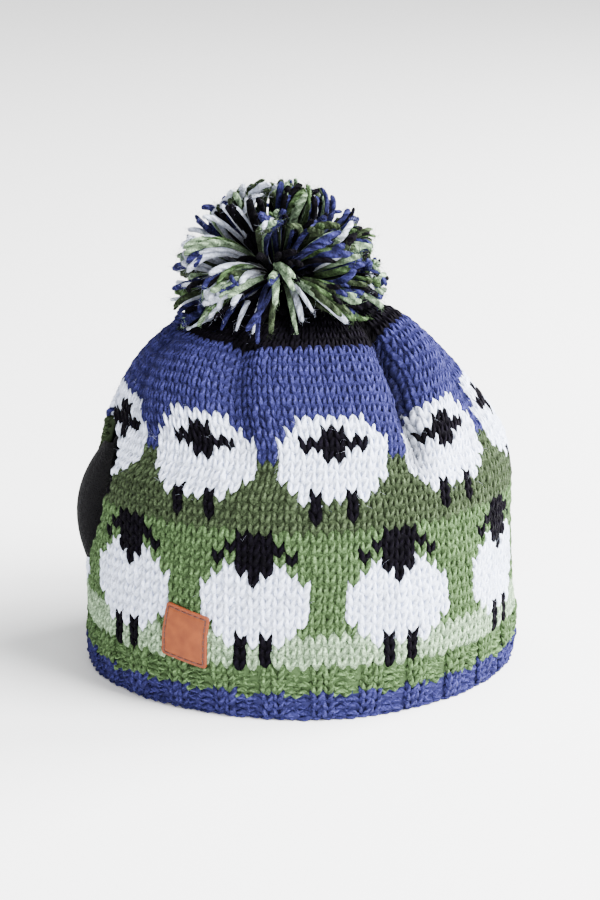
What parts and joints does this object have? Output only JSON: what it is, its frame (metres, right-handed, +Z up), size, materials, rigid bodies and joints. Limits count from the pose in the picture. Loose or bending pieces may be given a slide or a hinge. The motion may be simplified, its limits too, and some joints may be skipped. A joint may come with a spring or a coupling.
{
  "type": "tea cosy",
  "caption": "Domed knitted wool tea cosy with sheep motifs, open at the hem, with a spout slit, a handle slit, a fleece lining, a yarn pompom and a plain leather label",
  "frame": {"origin": "on the surface the hem rests on, below the middle of the whole cosy's box", "axes": "+Z up through the pompom, -X towards the spout slit, +X towards the handle slit, -Y towards the front with the label"},
  "size_m": [0.2037, 0.1835, 0.2216],
  "materials": {
    "knit_body": "knitted wool in blue, greens, white and black, matte and slightly hairy",
    "lining": "black fleece, matte",
    "pompom": "cut wool yarn in blue, greens, white and black, matte",
    "label": "tan leather with a stitched border, satin"
  },
  "bodies": {
    "root": {"knit_body": "knit_body", "lining": "lining", "pompom": "pompom", "label": "label"}
  },
  "joints": []
}
